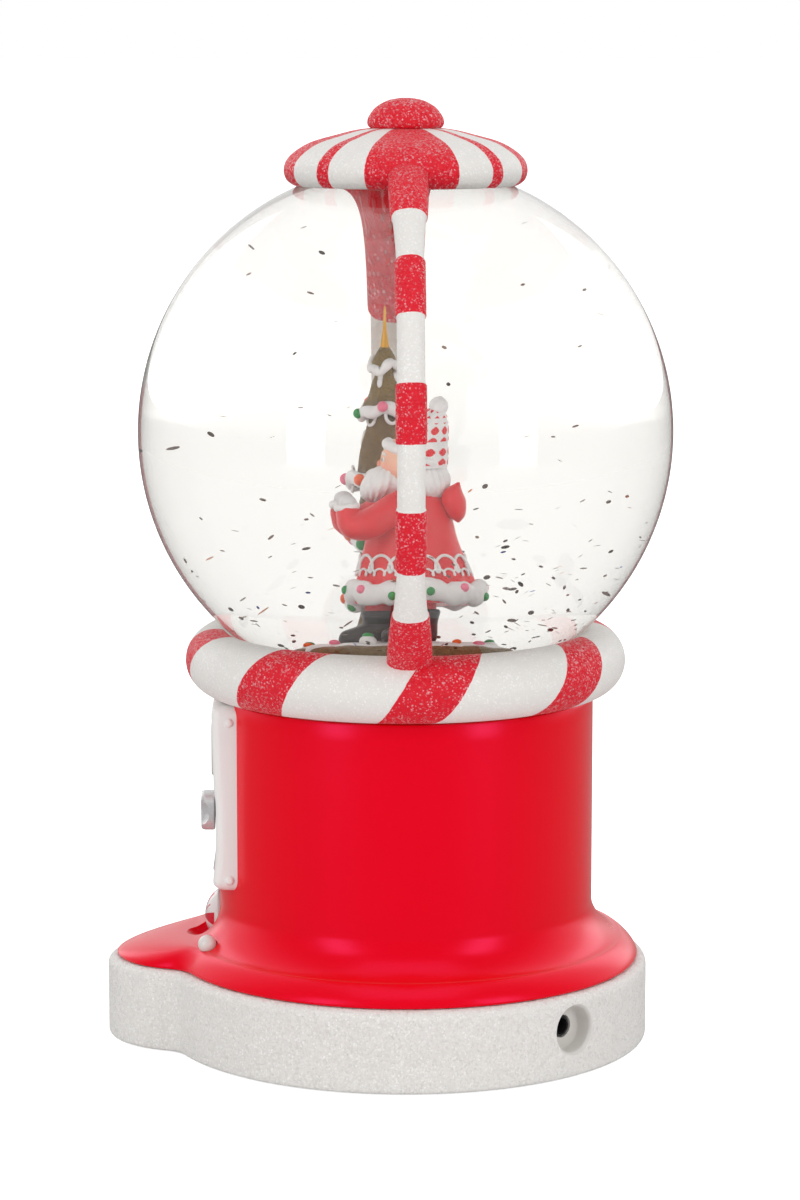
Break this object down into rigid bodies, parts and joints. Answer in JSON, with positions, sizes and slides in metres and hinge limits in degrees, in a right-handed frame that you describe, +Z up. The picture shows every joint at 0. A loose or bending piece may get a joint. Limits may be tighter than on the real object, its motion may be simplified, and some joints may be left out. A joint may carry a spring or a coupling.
{
  "type": "gumball machine water lantern",
  "caption": "Water globe with swirling glitter over a candy-machine body, with a turning knob, a hinged chute flap, a lit impeller drive and a battery base.",
  "frame": {"origin": "middle of the footprint, on the table the feet stand on", "axes": "+Z up through the globe, -Y towards the front plate and chute, +X to the right of someone looking at the front"},
  "size_m": [0.1658, 0.16, 0.266],
  "materials": {
    "glitter_white": "white moulding with a rough sparkling glitter coat",
    "gloss_red": "smooth glossy red",
    "candy_stripe": "white and red candy stripes with a glitter coat",
    "glitter_red": "red with a rough sparkling glitter coat",
    "plate_white": "smooth satin white",
    "gumball_white": "glossy white",
    "silver": "satin silver",
    "steel": "plain",
    "clear_globe": "clear and polished",
    "clear_plug": "clear",
    "water": "clear liquid with glitter",
    "rubber": "matte black",
    "black_plastic": "matte black",
    "board_green": "solder-masked board",
    "gingerbread": "painted resin, gingerbread with white icing",
    "gold": "gold paint",
    "figure_paint": "painted resin, red and white",
    "cell_skin": "printed sleeve without marks",
    "wire_red": "insulated wire"
  },
  "bodies": {
    "root": {"base_plinth": "glitter_white", "body_shell": "gloss_red", "ring_collar": "candy_stripe", "strut_left": "candy_stripe", "strut_right": "candy_stripe", "lid_cap": "candy_stripe", "lid_finial": "glitter_red", "front_plate": "plate_white", "rivet_1": "plate_white", "rivet_2": "plate_white", "rivet_3": "plate_white", "rivet_4": "plate_white", "coin_slot_block": "silver", "plate_trim": "silver", "knob_escutcheon": "silver", "flap_pin": "steel", "tray_gumball": "gumball_white", "glass_globe": "clear_globe", "water_fill": "water", "globe_plug": "clear_plug", "plug_seal": "rubber", "scene_ground": "gingerbread", "gingerbread_tree": "gingerbread", "tree_topper": "gold", "figurine": "figure_paint", "impeller_axle": "steel", "drive_motor": "steel", "motor_bracket": "steel", "led_board": "board_green", "led_1": "clear_plug", "led_2": "clear_plug", "led_3": "clear_plug", "control_board": "board_green", "dc_jack": "black_plastic", "switch_body": "black_plastic", "bottom_cover": "black_plastic", "battery_1": "cell_skin", "battery_2": "cell_skin", "battery_3": "cell_skin", "battery_contact_left": "steel", "battery_contact_right": "steel", "cover_screw_1": "steel", "cover_screw_2": "steel", "cover_screw_3": "steel", "cover_screw_4": "steel", "foot_1": "rubber", "foot_2": "rubber", "foot_3": "rubber", "foot_4": "rubber", "jack_lead": "wire_red", "motor_lead": "wire_red"},
    "knob": {"turn_knob": "silver", "knob_spindle": "steel", "spindle_clip": "steel"},
    "flap": {"chute_flap": "candy_stripe"},
    "battery_door": {"battery_door": "black_plastic"},
    "switch_slider": {"switch_slider": "plate_white"},
    "coupler": {"magnet_coupler": "black_plastic", "motor_shaft": "steel"},
    "impeller": {"impeller": "plate_white"}
  },
  "joints": [
    {"name": "knob_turn", "type": "hinge", "parent": "root", "child": "knob", "pos_m": [0, -0.0512, 0.065], "axis": [0, -1, 0], "continuous": true},
    {"name": "flap_swing", "type": "hinge", "parent": "root", "child": "flap", "pos_m": [0, -0.0466, 0.0403], "axis": [-1, 0, 0], "range_deg": [0, 60]},
    {"name": "battery_door_swing", "type": "hinge", "parent": "root", "child": "battery_door", "pos_m": [0, 0.0346, 0.0021], "axis": [1, 0, 0], "range_deg": [0, 90]},
    {"name": "switch_slide", "type": "slide", "parent": "root", "child": "switch_slider", "axis": [1, 0, 0], "range_m": [0, 0.004]},
    {"name": "coupler_spin", "type": "hinge", "parent": "root", "child": "coupler", "pos_m": [0, 0.005, 0.1045], "axis": [0, 0, 1], "continuous": true},
    {"name": "impeller_spin", "type": "hinge", "parent": "root", "child": "impeller", "pos_m": [0, 0.005, 0.116], "axis": [0, 0, 1], "continuous": true}
  ],
  "couplings": [
    {"joint": "impeller_spin", "follows": "coupler_spin", "ratio": 1}
  ]
}
